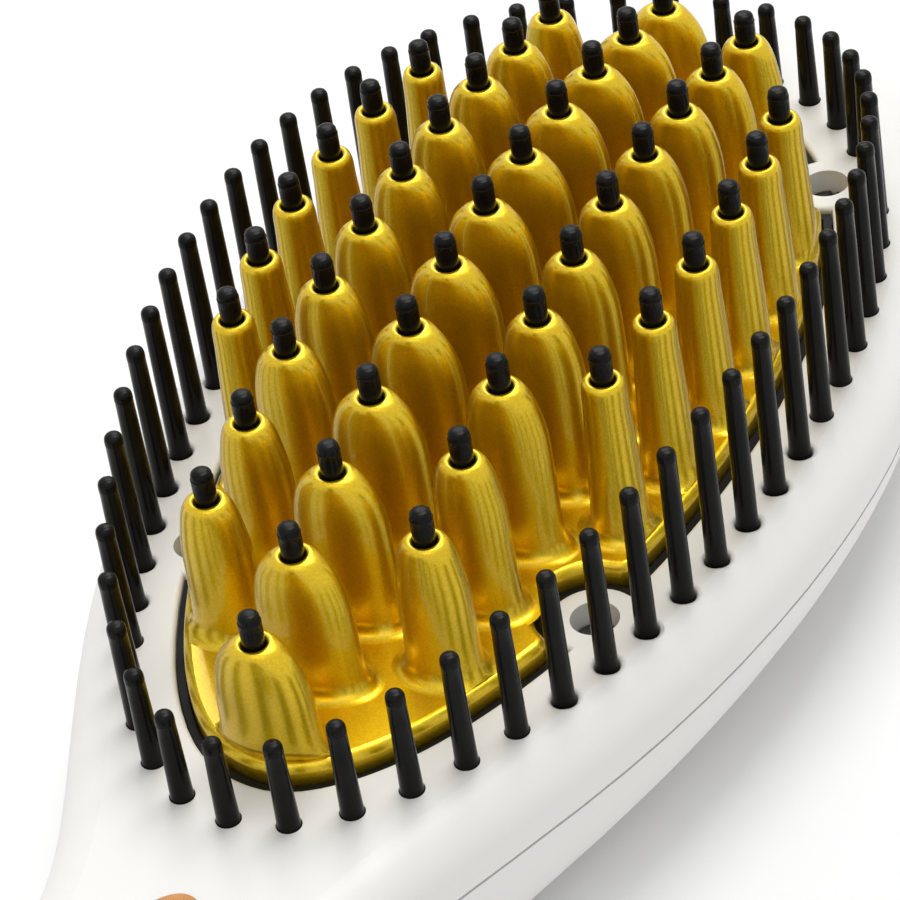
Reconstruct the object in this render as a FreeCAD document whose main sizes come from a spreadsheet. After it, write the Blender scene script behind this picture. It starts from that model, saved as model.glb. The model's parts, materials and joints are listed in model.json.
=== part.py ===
import FreeCAD, Part
import Sketcher
import math
import os

# Hair straightening brush: a white two-shell case whose oval head carries a heated
# plate with teeth, a ring of bristles round it, and a handle with three buttons.
# X runs from the handle to the tip, Z is up from the flat underside, in millimetres.

doc = FreeCAD.newDocument("hair_straightening_brush")

centre_teeth = 12
inner_teeth = 10
outer_teeth = 6
bristle_count = 52

dimensions = (
    ("tooth_pitch", "8.5", "spacing of the teeth along a column"),
    ("inner_column", "10.2", "side distance of the inner columns"),
    ("outer_column", "20", "side distance of the outer columns at their widest"),
    ("outer_bow", "1.9", "outer columns drawn in towards their ends"),
    ("outer_bow_offset", "1.5", "widest place of the outer columns, past their middle"),
    ("rear_margin", "3.8", "opening behind the first tooth"),
    ("front_margin", "8.1", "opening past the last tooth"),
    ("side_margin", "4.4", "opening beside the outer columns"),
    ("plate_gap", "1.1", "gap between plate and opening"),
    ("bristle_gap", "4.3", "from the opening to the ring of bristles"),
    ("rim_margin", "5.7", "from the bristles to the side of the head"),
    ("tip_margin", "11.4", "from the bristles to the tip"),
    ("widest_offset", "8", "widest place, past the middle of the opening"),
    ("neck_reach", "28.2", "from the opening back to the neck"),
    ("neck_half_width", "13.2", "half width of the neck"),
    ("grip_half_width", "15.8", "half width of the grip"),
    ("handle_length", "156", "from the opening back to the tail"),
    ("lower_depth", "14.5", "depth of the lower shell"),
    ("upper_depth", "6.2", "depth of the upper shell"),
    ("edge_radius", "4.3", "rounding of the upper shell"),
    ("mouth_edge", "0.5", "rounding of the opening's edge"),
    ("upper_wall", "2", "wall of the upper shell"),
    ("lower_wall", "2.6", "wall of the lower shell"),
    ("seam_gap", "0.3", "groove between the shells"),
    ("lip_height", "1.5", "lip of the lower shell, above and below the seam"),
    ("lip_wall", "1", "thickness of the lip"),
    ("base_half_width", "9.5", "half width of the flat underside"),
    ("keel_reach", "77", "flat underside ahead of the neck"),
    ("tail_rise", "5", "flat underside starts this far from the tail"),
    ("fit_clearance", "0.15", "play between pieces that slip together"),
    ("plate_rise", "1.5", "plate above the white face"),
    ("plate_depth", "5", "plate below the white face"),
    ("plate_edge", "0.8", "rounding of the plate's upper edge"),
    ("notch_corner", "1.5", "rounding of the plate beside a lobe"),
    ("lobe_radius", "4.2", "white lobe round a screw hole"),
    ("rear_lobe_inset", "0.7", "rear lobes inside the edge of the opening"),
    ("tube_radius", "2.9", "screw tube under a lobe"),
    ("tube_bore", "2.2", "screw hole in a lobe"),
    ("frame_lap", "1.8", "plate frame under the white face"),
    ("frame_ledge", "2.5", "ledge of the frame under the plate"),
    ("frame_floor", "1", "thickness of that ledge"),
    ("frame_drop", "0.6", "rim of the frame below the white face"),
    ("tooth_height", "21", "rim of the tallest tooth above the white face"),
    ("tooth_end_drop", "8.8", "fall of the rims towards the ends"),
    ("tooth_side_drop", "4.3", "fall of the rims towards the sides"),
    ("crown_offset", "2.1", "tallest place, past the middle of the opening"),
    ("blade_half_breadth", "4.9", "half breadth of a centre blade"),
    ("inner_half_breadth", "4.2", "half breadth of an inner blade"),
    ("blade_half_thickness", "2.5", "half thickness of a blade"),
    ("cone_radius", "2.65", "radius of a round tooth"),
    ("rim_radius", "1.87", "radius of a tooth at its rim"),
    ("shoulder_depth", "2.6", "depth of the shoulder below the rim"),
    ("waist_depth", "5.1", "depth of the waist below the rim"),
    ("foot_height", "1.5", "height of the flare at a tooth's foot"),
    ("tip_radius", "1", "radius of a black tip"),
    ("tip_reach", "3.15", "tip above the rim of its tooth"),
    ("tip_seat", "3", "tip inside its tooth"),
    ("pin_clearance", "0.08", "play of tips and bristles in their holes"),
    ("bristle_height", "17", "longest bristle above the white face"),
    ("bristle_end_drop", "6.9", "fall of the bristles towards the ends"),
    ("bristle_foot", "1.05", "radius of a bristle at the face"),
    ("bristle_end", "0.88", "radius of a bristle at its end"),
    ("flange_radius", "1.35", "flange of a bristle"),
    ("flange_thickness", "0.8", "thickness of that flange"),
    ("retainer_half_width", "1.9", "half width of the bristle retainer"),
    ("retainer_thickness", "1.5", "thickness of the bristle retainer"),
    ("shield_height", "9.7", "underside of the heat shield"),
    ("shield_thickness", "0.8", "thickness of the heat shield"),
    ("shield_inset", "2", "heat shield inside the opening"),
    ("boss_radius", "3.2", "screw boss of the lower shell"),
    ("screw_shaft", "1.25", "radius of a case screw"),
    ("screw_head", "2", "head radius of a case screw"),
    ("screw_head_height", "1.6", "head height of a case screw"),
    ("screw_slot", "0.6", "width and depth of a screw's slot"),
    ("screw_clearance", "0.05", "play round a screw"),
    ("tube_floor", "6.3", "floor of a screw tube"),
    ("head_screw_reach", "2.4", "thread of a head screw in its boss"),
    ("heater_length", "70", "length of the heater"),
    ("heater_width", "11", "width of the heater"),
    ("heater_thickness", "2", "thickness of the heater"),
    ("clamp_margin", "4", "heater past the ends of its clamp"),
    ("clamp_thickness", "0.8", "thickness of the heater clamp"),
    ("sensor_offset", "7.8", "side distance of the sensors"),
    ("fuse_radius", "1.6", "radius of the thermal fuse"),
    ("fuse_length", "10", "length of the thermal fuse"),
    ("thermistor_radius", "1.1", "radius of the thermistor"),
    ("thermistor_length", "6", "length of the thermistor"),
    ("sensor_inset", "14", "sensors ahead of the heater's rear end"),
    ("lead_radius", "0.8", "radius of a heater lead"),
    ("lead_spread", "3.4", "side distance of a heater lead"),
    ("sensor_lead_radius", "0.5", "radius of a sensor lead"),
    ("panel_reach", "13.2", "from the opening back to the bezel"),
    ("bezel_half_length", "31", "half length of the bezel"),
    ("bezel_half_width", "7.6", "half width of the bezel"),
    ("bezel_wall", "1.4", "width of the bezel's rim"),
    ("bezel_rise", "0.3", "bezel above the handle"),
    ("panel_thickness", "1.2", "thickness of the panel and its recess"),
    ("panel_ledge", "2.4", "ledge that carries bezel and panel"),
    ("window_offset", "12", "window ahead of the panel's middle"),
    ("window_length", "14", "length of the window"),
    ("window_width", "7.4", "width of the window"),
    ("first_button", "1", "first button behind the panel's middle"),
    ("button_spacing", "9.3", "spacing of the buttons"),
    ("button_radius", "3.2", "radius of a button"),
    ("button_rise", "0.9", "button above the panel"),
    ("button_gap", "0.3", "gap round and above a moving button"),
    ("button_edge", "0.4", "rounding of a button"),
    ("button_flange", "4.1", "radius of a button's flange"),
    ("button_flange_height", "1", "height of a button's flange"),
    ("button_stem", "1.5", "radius of a button's stem"),
    ("plunger_radius", "1.4", "radius of a switch plunger"),
    ("plunger_rise", "0.9", "plunger above its switch"),
    ("plunger_depth", "1.2", "plunger inside its switch"),
    ("plunger_room", "0.8", "free depth under a plunger"),
    ("switch_side", "6", "side of a switch"),
    ("switch_height", "4.5", "height of a switch"),
    ("board_height", "9", "upper face of the control board"),
    ("board_thickness", "1.6", "thickness of the control board"),
    ("board_length", "66", "length of the control board"),
    ("board_width", "17", "width of the control board"),
    ("post_radius", "2.2", "radius of a board post"),
    ("post_offset_x", "24", "board posts before and behind the middle"),
    ("post_offset_y", "6.2", "board posts beside the middle"),
    ("board_screw_shaft", "0.9", "radius of a board screw"),
    ("board_screw_head", "1.9", "head radius of a board screw"),
    ("board_screw_head_height", "1.2", "head height of a board screw"),
    ("board_screw_reach", "4", "thread of a board screw in its post"),
    ("display_length", "15", "length of the display module"),
    ("display_width", "6.6", "width of the display module"),
    ("terminal_length", "6", "length of the terminal block"),
    ("terminal_width", "16.6", "width of the terminal block"),
    ("terminal_height", "5", "height of the terminal block"),
    ("triac_length", "3", "thickness of the power switch"),
    ("triac_width", "6.5", "width of the power switch"),
    ("triac_height", "6.5", "height of the power switch"),
    ("triac_gap", "2", "power switch behind the terminal block"),
    ("capacitor_radius", "3.4", "radius of the capacitor"),
    ("capacitor_height", "7", "height of the capacitor"),
    ("capacitor_inset", "5", "capacitor ahead of the board's rear end"),
    ("closing_first", "34", "first closing screw ahead of the tail"),
    ("closing_second", "70", "second closing screw ahead of the tail"),
    ("closing_boss", "4.4", "closing boss of the lower shell"),
    ("closing_sink", "3", "depth of a closing screw's recess"),
    ("closing_split", "6.5", "height where boss and post meet"),
    ("closing_reach", "8", "thread of a closing screw in its post"),
    ("swivel_reach", "8", "swivel past the tail"),
    ("swivel_height", "8.6", "height of the swivel's axis"),
    ("swivel_neck", "4.6", "radius of the swivel's neck"),
    ("swivel_bore", "3", "radius of the cord bore"),
    ("swivel_clearance", "0.06", "running play of the swivel"),
    ("swivel_flange", "5.6", "radius of the swivel's flange"),
    ("swivel_flange_length", "2", "thickness of the swivel's flange"),
    ("swivel_end_play", "0.3", "gap between the flange and its seat"),
    ("swivel_edge", "0.8", "rounding of the swivel's mouth"),
    ("seat_radius", "6.6", "radius of the swivel's seat"),
    ("seat_length", "9", "length of the swivel's seat"),
    ("stem_radius", "3.8", "radius of the swivel's stem"),
    ("stem_length", "11", "length of the swivel's stem"),
    ("slip_radius", "4.4", "radius of a slip ring"),
    ("slip_width", "2", "width of a slip ring"),
    ("slip_spacing", "5", "spacing of the slip rings"),
    ("slip_offset", "2", "first slip ring behind the flange"),
    ("contact_width", "3", "width of a swivel contact"),
    ("contact_gap", "0.3", "gap between contact and slip ring"),
    ("overrun", "2", "how far a cut runs past what it cuts"),
)

sizes = doc.addObject("Spreadsheet::Sheet", "sizes")
for row, (alias, number, note) in enumerate(dimensions, start=1):
    sizes.set(f"A{row}", alias)
    sizes.set(f"B{row}", number)
    sizes.set(f"C{row}", note)
    sizes.setAlias(f"B{row}", alias)

# Places that follow from the sizes, each written once.
column_length = f"{centre_teeth - 1} * sizes.tooth_pitch"
places = (
    ("opening_half_length", f"(sizes.rear_margin + {column_length} + sizes.front_margin) / 2"),
    ("opening_half_width", "sizes.outer_column + sizes.side_margin"),
    ("head_half_width", "layout.opening_half_width + sizes.bristle_gap + sizes.rim_margin"),
    ("overall_length", "sizes.swivel_reach + sizes.handle_length + 2 * layout.opening_half_length"
                       " + sizes.bristle_gap + sizes.tip_margin"),
    ("tip_x", "layout.overall_length / 2"),
    ("tail_x", "sizes.swivel_reach - layout.overall_length / 2"),
    ("opening_rear_x", "layout.tail_x + sizes.handle_length"),
    ("opening_mid_x", "layout.opening_rear_x + layout.opening_half_length"),
    ("first_tooth_x", "layout.opening_rear_x + sizes.rear_margin"),
    ("neck_x", "layout.opening_rear_x - sizes.neck_reach"),
    ("widest_x", "layout.opening_mid_x + sizes.widest_offset"),
    ("face_z", "sizes.lower_depth + sizes.upper_depth"),
    ("roof_z", "layout.face_z - sizes.upper_wall"),
    ("plate_top_z", "layout.face_z + sizes.plate_rise"),
    ("plate_bottom_z", "layout.face_z - sizes.plate_depth"),
    ("shield_top_z", "sizes.shield_height + sizes.shield_thickness"),
    ("head_seat_z", "layout.shield_top_z + sizes.tube_floor"),
    ("heater_rear_x", "layout.opening_mid_x - sizes.heater_length / 2"),
    ("sensor_x", "layout.heater_rear_x + sizes.sensor_inset"),
    ("lead_z", "layout.plate_bottom_z - sizes.frame_floor - sizes.lead_radius - sizes.fit_clearance"),
    ("panel_x", "layout.opening_rear_x - sizes.panel_reach - sizes.bezel_half_length"),
    ("panel_z", "layout.face_z - sizes.panel_thickness"),
    ("window_x", "layout.panel_x + sizes.window_offset"),
    ("button_x", "layout.panel_x - sizes.first_button"),
    ("button_flange_z", "layout.roof_z - sizes.button_gap - sizes.button_flange_height"),
    ("board_rear_x", "layout.panel_x - sizes.board_length / 2"),
    ("board_front_x", "layout.panel_x + sizes.board_length / 2"),
    ("board_bottom_z", "sizes.board_height - sizes.board_thickness"),
    ("switch_top_z", "sizes.board_height + sizes.switch_height"),
    ("stem_z", "layout.switch_top_z + sizes.plunger_rise"),
    ("seat_end_x", "layout.tail_x + sizes.seat_length"),
    ("flange_x", "layout.seat_end_x + sizes.swivel_end_play"),
    ("stem_x", "layout.flange_x + sizes.swivel_flange_length"),
    ("slip_x", "layout.stem_x + sizes.slip_offset"),
)
layout = doc.addObject("App::VarSet", "layout")
doc.recompute()
for name, formula in places:
    layout.addProperty("App::PropertyFloat", name)
    layout.setExpression(name, formula)
    doc.recompute()

size = {alias: float(sizes.get(alias)) for alias, number, note in dimensions}
place = {name: float(getattr(layout, name)) for name, formula in places}
up = FreeCAD.Vector(0, 0, 1)
node_objects = []


def vector(x, y, z=0.0):
    return FreeCAD.Vector(x, y, z)


def add_node(item, label):
    item.Label = label
    node_objects.append(item)
    return item


def shaped_node(label, shape):
    item = doc.addObject("Part::Feature", label)
    item.Shape = shape
    item.Placement = FreeCAD.Placement()
    return add_node(item, label)


def closed_curve(points):
    curve = Part.BSplineCurve()
    curve.interpolate(points, PeriodicFlag=True)
    return curve


def prism(wire, low, high):
    face = Part.Face(wire)
    face.translate(vector(0, 0, low - face.BoundBox.ZMin))
    return face.extrude(up * (high - low))


def rod(radius, x, y, low, high):
    return Part.makeCylinder(radius, high - low, vector(x, y, low))


# Case outline. Along the neck and head the first number of a pair runs from the neck
# to the widest place, or on to the tip; the second is the share of the half width.
head_rear_shares = ((0.13, 0.012), (0.32, 0.285), (0.52, 0.635), (0.74, 0.888))
head_front_shares = ((0.365, 0.935), (0.655, 0.80), (0.854, 0.575), (0.965, 0.29))
grip_shares = ((0.376, 0.96), (0.69, 1.0), (0.91, 0.80), (0.98, 0.42))


def outline_side():
    neck, wide = place["neck_x"], place["widest_x"]
    tip, tail = place["tip_x"], place["tail_x"]
    swell = place["head_half_width"] - size["neck_half_width"]
    side = [(tip, 0.0)]
    for along, across in reversed(head_front_shares):
        side.append((wide + along * (tip - wide), across * place["head_half_width"]))
    side.append((wide, place["head_half_width"]))
    for along, across in reversed(head_rear_shares):
        side.append((neck + along * (wide - neck), size["neck_half_width"] + across * swell))
    side.append((neck, size["neck_half_width"]))
    for along, across in grip_shares:
        side.append((neck + along * (tail - neck), across * size["grip_half_width"]))
    side.append((tail, 0.0))
    return side


def mirrored(side):
    far_side = [(x, -y) for x, y in reversed(side[1:-1])]
    return [vector(x, y) for x, y in side + far_side]


def outline_points(inset):
    points = mirrored(outline_side())
    curve = closed_curve(points)
    moved = []
    for point in points:
        tangent = curve.tangent(curve.parameter(point))[0]
        moved.append(point + vector(-tangent.y, tangent.x) * inset)
    return moved


def outline_wire(inset, height):
    points = [point + up * height for point in outline_points(inset)]
    return Part.Wire(closed_curve(points).toShape())


# The underside of the case falls from the seam to a flat keel in a full round, whose
# bluntness is the power of its curve.
hull_power = 1.95
hull_steps = 5


def keel_point(x, y, inset):
    neck, tip, tail = place["neck_x"], place["tip_x"], place["tail_x"]
    half_width = size["base_half_width"] - inset / 2
    if x >= neck:
        run = (x - neck) / (tip - neck)
        gain = 1 - (1 - run) ** 2
        keel_x = neck + gain * (size["keel_reach"] - inset)
        keel_y = half_width * math.sqrt(max(0.0, 1 - gain ** 2))
    else:
        run = (neck - x) / (neck - tail)
        keel_x = neck - run * (neck - tail - size["tail_rise"] - inset)
        keel_y = half_width * math.sqrt(max(0.0, 1 - run ** 4))
    return vector(keel_x, math.copysign(keel_y, y))


def hull(inset, floor, rim):
    keel = [keel_point(point.x, point.y, inset) for point in outline_points(0.0)]
    edge = outline_points(inset)
    wires = []
    for step in range(hull_steps + 1):
        angle = math.pi / 2 * step / hull_steps
        draw_in = 1 - max(0.0, math.cos(angle)) ** (2 / hull_power)
        height = rim + math.sin(angle) ** (2 / hull_power) * (floor - rim)
        ring = [e + (k - e) * draw_in + up * height for e, k in zip(edge, keel)]
        wires.append(Part.Wire(closed_curve(ring).toShape()))
    return Part.makeLoft(wires, True, False)


# The opening and all that lies round it share one egg shape, wider towards the tip.
egg_share = 0.125
egg_steps = 24


def egg_curve(offset):
    points = []
    for step in range(egg_steps):
        angle = 2 * math.pi * step / egg_steps
        x = place["opening_mid_x"] - (place["opening_half_length"] + offset) * math.cos(angle)
        lean = 1 - egg_share * math.cos(angle)
        points.append(vector(x, (place["opening_half_width"] + offset) * math.sin(angle) * lean))
    return closed_curve(points)


def egg_prism(offset, low, high):
    return prism(Part.Wire(egg_curve(offset).toShape()), low, high)


def egg_side(x):
    lean = (place["opening_mid_x"] - x) / place["opening_half_length"]
    return place["opening_half_width"] * math.sqrt(1 - lean ** 2) * (1 - egg_share * lean)


rear_lobe_share = 0.25
front_lobe_share = 0.955


def lobe_places():
    row = (centre_teeth - 1) * size["tooth_pitch"]
    rear_x = place["first_tooth_x"] + rear_lobe_share * row
    front_x = place["first_tooth_x"] + front_lobe_share * row
    rear_y = egg_side(rear_x) - size["rear_lobe_inset"]
    front_y = egg_side(front_x)
    return [(rear_x, rear_y), (rear_x, -rear_y), (front_x, front_y), (front_x, -front_y)]


lobes = lobe_places()


def lobe_rods(radius, low, high):
    return [rod(radius, x, y, low, high) for x, y in lobes]


bristle_shift_share = 0.13


def bristle_places():
    ring = egg_curve(size["bristle_gap"]).toShape()
    step = ring.Length / bristle_count
    return [ring.valueAt(ring.getParameterByLength((index + bristle_shift_share) * step))
            for index in range(bristle_count)]


bristle_spots = bristle_places()
closing_places = [place["tail_x"] + size["closing_first"], place["tail_x"] + size["closing_second"]]


def upper_shell():
    seam, top, roof = size["lower_depth"], place["face_z"], place["roof_z"]
    outer = prism(outline_wire(0.0, seam), seam, top)
    rim = [edge for edge in outer.Edges if edge.BoundBox.ZMin > seam + size["upper_depth"] / 2]
    rounding = min(size["edge_radius"], size["upper_depth"] - size["seam_gap"])
    outer = outer.makeFillet(rounding, rim)
    inner = prism(outline_wire(size["upper_wall"], seam), seam - size["overrun"], roof)
    shell = outer.cut(inner)
    split = size["closing_split"]
    added = lobe_rods(size["tube_radius"], place["shield_top_z"], roof + size["upper_wall"] / 2)
    added += [rod(size["boss_radius"], x, 0, split, roof + size["upper_wall"] / 2) for x in closing_places]
    shell = shell.fuse(added)
    over = top + size["overrun"]
    mouth = egg_prism(0.0, roof - size["overrun"], over)
    mouth = mouth.cut(lobe_rods(size["lobe_radius"], roof - size["overrun"], over))
    mouth = mouth.cut(lobe_rods(size["tube_radius"], roof - 2 * size["overrun"], over))
    cuts = [mouth]
    cuts += lobe_rods(size["tube_bore"], place["head_seat_z"], over)
    shaft_hole = size["screw_shaft"] + size["screw_clearance"]
    cuts += lobe_rods(shaft_hole, place["shield_top_z"] - size["overrun"], over)
    pilot_top = split + size["closing_reach"] + size["screw_clearance"]
    cuts += [rod(shaft_hole, x, 0, split - size["overrun"], pilot_top) for x in closing_places]
    bristle_hole = size["bristle_foot"] + size["pin_clearance"]
    cuts += [rod(bristle_hole, spot.x, spot.y, roof - size["overrun"], over) for spot in bristle_spots]
    cuts.append(panel_slab(0.0, place["panel_z"], over))
    cuts.append(panel_slab(-size["panel_ledge"], roof - size["overrun"], over))
    shell = shell.cut(cuts).removeSplitter()
    mouth_rim = [edge for edge in shell.Edges if edge.BoundBox.ZMin > roof + size["upper_wall"] / 2
                 and edge.BoundBox.ZLength < size["fit_clearance"] and not edge.isClosed()]
    return shell.makeFillet(size["mouth_edge"], mouth_rim)


def panel_slab(offset, low, high):
    centre = vector(place["panel_x"], 0, low)
    ellipse = Part.Ellipse(centre, size["bezel_half_length"] + offset, size["bezel_half_width"] + offset)
    return prism(Part.Wire(ellipse.toShape()), low, high)


def board_posts():
    spots = []
    for side_x in (-1, 1):
        for side_y in (-1, 1):
            x = place["panel_x"] + side_x * size["post_offset_x"]
            spots.append((x, side_y * size["post_offset_y"]))
    return spots


def lower_shell():
    rim, seam = size["lower_depth"] - size["seam_gap"], size["lower_depth"]
    along = vector(1, 0, 0)
    tail = vector(place["tail_x"], 0, size["swivel_height"])
    solid = lobe_rods(size["boss_radius"], 0.0, size["shield_height"])
    solid += [rod(size["post_radius"], x, y, 0.0, place["board_bottom_z"]) for x, y in board_posts()]
    solid += [rod(size["closing_boss"], x, 0, 0.0, size["closing_split"]) for x in closing_places]
    solid.append(Part.makeCylinder(size["seat_radius"], size["seat_length"], tail, along))
    cavity = hull(size["lower_wall"], size["lower_wall"], seam).cut(solid)
    shaft_hole = size["screw_shaft"] + size["screw_clearance"]
    head_hole = size["screw_head"] + size["fit_clearance"]
    drill_low = size["shield_height"] - size["head_screw_reach"] - size["screw_clearance"]
    cuts = lobe_rods(shaft_hole, drill_low, seam)
    post_hole = size["board_screw_shaft"] + size["screw_clearance"]
    post_low = place["board_bottom_z"] - size["board_screw_reach"] - size["screw_clearance"]
    cuts += [rod(post_hole, x, y, post_low, seam) for x, y in board_posts()]
    cuts += [rod(head_hole, x, 0, -size["overrun"], size["closing_sink"]) for x in closing_places]
    cuts += [rod(shaft_hole, x, 0, 0.0, seam) for x in closing_places]
    bore_length = size["seat_length"] + 2 * size["overrun"]
    bore_radius = size["swivel_neck"] + size["swivel_clearance"]
    bore = Part.makeCylinder(bore_radius, bore_length, tail - along * size["overrun"], along)
    shell = hull(0.0, 0.0, rim).cut(cavity).cut(cuts).cut(bore)
    lip_low, lip_high = rim - size["lip_height"], seam + size["lip_height"]
    lip_outer = size["upper_wall"] + size["fit_clearance"]
    lip = prism(outline_wire(lip_outer, lip_low), lip_low, lip_high)
    lip_hole = prism(outline_wire(lip_outer + size["lip_wall"], lip_low), lip_low, lip_high)
    return shell.fuse(lip.cut(lip_hole).cut(bore))


def plate_block(offset, low, high):
    block = egg_prism(-size["plate_gap"] + offset, low, high)
    notch = size["lobe_radius"] + size["plate_gap"] - offset
    return block.cut(lobe_rods(notch, low - size["overrun"], high + size["overrun"]))


def heating_plate():
    low, high = place["plate_bottom_z"], place["plate_top_z"]
    block = plate_block(0.0, low, high)
    corners = [edge for edge in block.Edges if edge.BoundBox.ZLength > (high - low) / 2
               and abs(edge.CenterOfMass.y) > size["inner_column"]]
    block = block.makeFillet(size["notch_corner"], corners)
    rim = [edge for edge in block.Edges if edge.BoundBox.ZMin > high - size["overrun"] / 2]
    return block.makeFillet(size["plate_edge"], rim)


def plate_frame():
    low, high = place["plate_bottom_z"] - size["frame_floor"], place["roof_z"]
    body = egg_prism(size["frame_lap"], low, high)
    rim_high = place["face_z"] - size["frame_drop"]
    body = body.fuse(plate_block(size["plate_gap"] - size["fit_clearance"], low, rim_high))
    over = rim_high + size["overrun"]
    room = size["tube_radius"] + size["fit_clearance"]
    pocket = plate_block(size["fit_clearance"], place["plate_bottom_z"], over)
    window = plate_block(-size["frame_ledge"], low - size["overrun"], over)
    return body.cut([pocket, window] + lobe_rods(room, low - size["overrun"], over)).removeSplitter()


def heat_shield():
    low, high = size["shield_height"], place["shield_top_z"]
    sheet = egg_prism(-size["shield_inset"], low, high)
    pads = lobe_rods(size["boss_radius"], low, high)
    holes = lobe_rods(size["screw_shaft"] + size["screw_clearance"], low - size["overrun"], high + size["overrun"])
    return sheet.fuse(pads).cut(holes).removeSplitter()


def bristle_retainer():
    high = place["roof_z"] - size["flange_thickness"]
    low = high - size["retainer_thickness"]
    band = egg_prism(size["bristle_gap"] + size["retainer_half_width"], low, high)
    inside = egg_prism(size["bristle_gap"] - size["retainer_half_width"], low - size["overrun"],
                       high + size["overrun"])
    room = size["tube_radius"] + size["fit_clearance"]
    return band.cut([inside] + lobe_rods(room, low - size["overrun"], high + size["overrun"]))


# Teeth: every tooth is a loft from its foot to its rim, broad across the head.
breadth_shares = {"foot": 1.08, "low": 0.97, "waist": 0.87, "shoulder": 0.73}
thickness_shares = {"foot": 1.04, "low": 0.98, "waist": 0.92, "shoulder": 0.84}
round_share = 0.99
end_blade_share = 0.86


def rim_height(x, y):
    crown_x = place["opening_mid_x"] + size["crown_offset"]
    along = (x - crown_x) / place["opening_half_length"]
    across = y / place["opening_half_width"]
    drop = size["tooth_end_drop"] * along ** 2 + size["tooth_side_drop"] * across ** 2
    return place["face_z"] + size["tooth_height"] - drop


def ellipse_wire(x, y, z, half_breadth, half_thickness):
    major = vector(x, y + half_breadth, z)
    minor = vector(x - min(half_thickness, round_share * half_breadth), y, z)
    return Part.Wire(Part.Ellipse(major, minor, vector(x, y, z)).toShape())


def tooth(x, y, half_breadth, half_thickness):
    rim = rim_height(x, y)
    foot = place["plate_top_z"]
    heights = (("foot", foot), ("low", foot + size["foot_height"]),
               ("waist", rim - size["waist_depth"]), ("shoulder", rim - size["shoulder_depth"]))
    wires = []
    for level, height in heights:
        wires.append(ellipse_wire(x, y, height, breadth_shares[level] * half_breadth,
                                  thickness_shares[level] * half_thickness))
    wires.append(ellipse_wire(x, y, rim, size["rim_radius"], size["rim_radius"]))
    hole = size["tip_radius"] + size["pin_clearance"]
    seat = rod(hole, x, y, rim - size["tip_seat"] - size["pin_clearance"], rim + size["overrun"])
    return Part.makeLoft(wires, True, False).cut(seat)


def column(count, first_steps):
    pitch = size["tooth_pitch"]
    return [place["first_tooth_x"] + (first_steps + step) * pitch for step in range(count)]


# The columns start this many tooth steps ahead of the first tooth of the centre column.
inner_start_share = 1.5
outer_start_share = 4.0
centre_spots = [(x, 0.0) for x in column(centre_teeth, 0)]
inner_spots = [(x, side * size["inner_column"]) for side in (1, -1)
               for x in column(inner_teeth, inner_start_share)]
outer_row = column(outer_teeth, outer_start_share)
outer_half_row = (outer_row[-1] - outer_row[0]) / 2
outer_bow_x = (outer_row[0] + outer_row[-1]) / 2 + size["outer_bow_offset"]


def outer_side(x):
    return size["outer_column"] - size["outer_bow"] * ((x - outer_bow_x) / outer_half_row) ** 2


outer_spots = [(x, side * outer_side(x)) for side in (1, -1) for x in outer_row]


def blade_teeth():
    thickness = size["blade_half_thickness"]
    blades = [tooth(x, y, size["blade_half_breadth"], thickness) for x, y in centre_spots]
    for index, (x, y) in enumerate(inner_spots):
        at_end = index % inner_teeth in (0, 1, inner_teeth - 1)
        breadth = size["inner_half_breadth"] * (end_blade_share if at_end else 1)
        blades.append(tooth(x, y, breadth, thickness))
    return Part.makeCompound(blades)


def cone_teeth():
    radius = size["cone_radius"]
    return Part.makeCompound([tooth(x, y, radius, radius) for x, y in outer_spots])


# Tips and bristles are turned pins with a domed end.
dome_share = math.sqrt(0.5)


def pin(steps, end_radius, top):
    dome_low = top - end_radius
    corners = [vector(0, 0, steps[0][1])]
    corners += [vector(radius, 0, height) for radius, height in steps]
    corners.append(vector(end_radius, 0, dome_low))
    bulge = vector(dome_share * end_radius, 0, dome_low + dome_share * end_radius)
    crown = vector(0, 0, top)
    edges = [Part.makeLine(a, b) for a, b in zip(corners, corners[1:])]
    edges.append(Part.Arc(corners[-1], bulge, crown).toShape())
    edges.append(Part.makeLine(crown, corners[0]))
    return Part.Face(Part.Wire(edges)).revolve(vector(0, 0), up, 360)


def tooth_tips():
    tips = []
    radius = size["tip_radius"]
    turned = pin([(radius, -size["tip_seat"])], radius, size["tip_reach"])
    for x, y in centre_spots + inner_spots + outer_spots:
        tips.append(turned.translated(vector(x, y, rim_height(x, y))))
    return Part.makeCompound(tips)


def bristles():
    pins = []
    roof, face = place["roof_z"], place["face_z"]
    for spot in bristle_spots:
        along = (spot.x - place["opening_mid_x"]) / place["opening_half_length"]
        top = face + size["bristle_height"] - size["bristle_end_drop"] * along ** 2
        steps = [(size["flange_radius"], roof - size["flange_thickness"]), (size["flange_radius"], roof),
                 (size["bristle_foot"], roof), (size["bristle_foot"], face)]
        pins.append(pin(steps, size["bristle_end"], top).translated(vector(spot.x, spot.y)))
    return Part.makeCompound(pins)


for label, make in (("upper_shell", upper_shell), ("lower_shell", lower_shell),
                    ("heating_plate", heating_plate), ("plate_frame", plate_frame),
                    ("heat_shield", heat_shield), ("bristle_retainer", bristle_retainer),
                    ("blade_teeth", blade_teeth), ("cone_teeth", cone_teeth),
                    ("tooth_tips", tooth_tips), ("bristles", bristles)):
    shaped_node(label, make())


# Pieces made of primitives, with sizes and places bound to the sheet.
def bind(item, **formulas):
    for name, formula in formulas.items():
        item.setExpression(name.replace("__", "."), formula)
    return item


def put(item, x, y, z):
    return bind(item, Placement__Base__x=x, Placement__Base__y=y, Placement__Base__z=z)


def block(name, length, width, height, x, y, z):
    item = doc.addObject("Part::Box", name)
    bind(item, Length=length, Width=width, Height=height)
    return put(item, x, f"{y} - ({width}) / 2", z)


def cylinder(name, radius, height, x, y, z):
    item = doc.addObject("Part::Cylinder", name)
    bind(item, Radius=radius, Height=height)
    return put(item, x, y, z)


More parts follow.
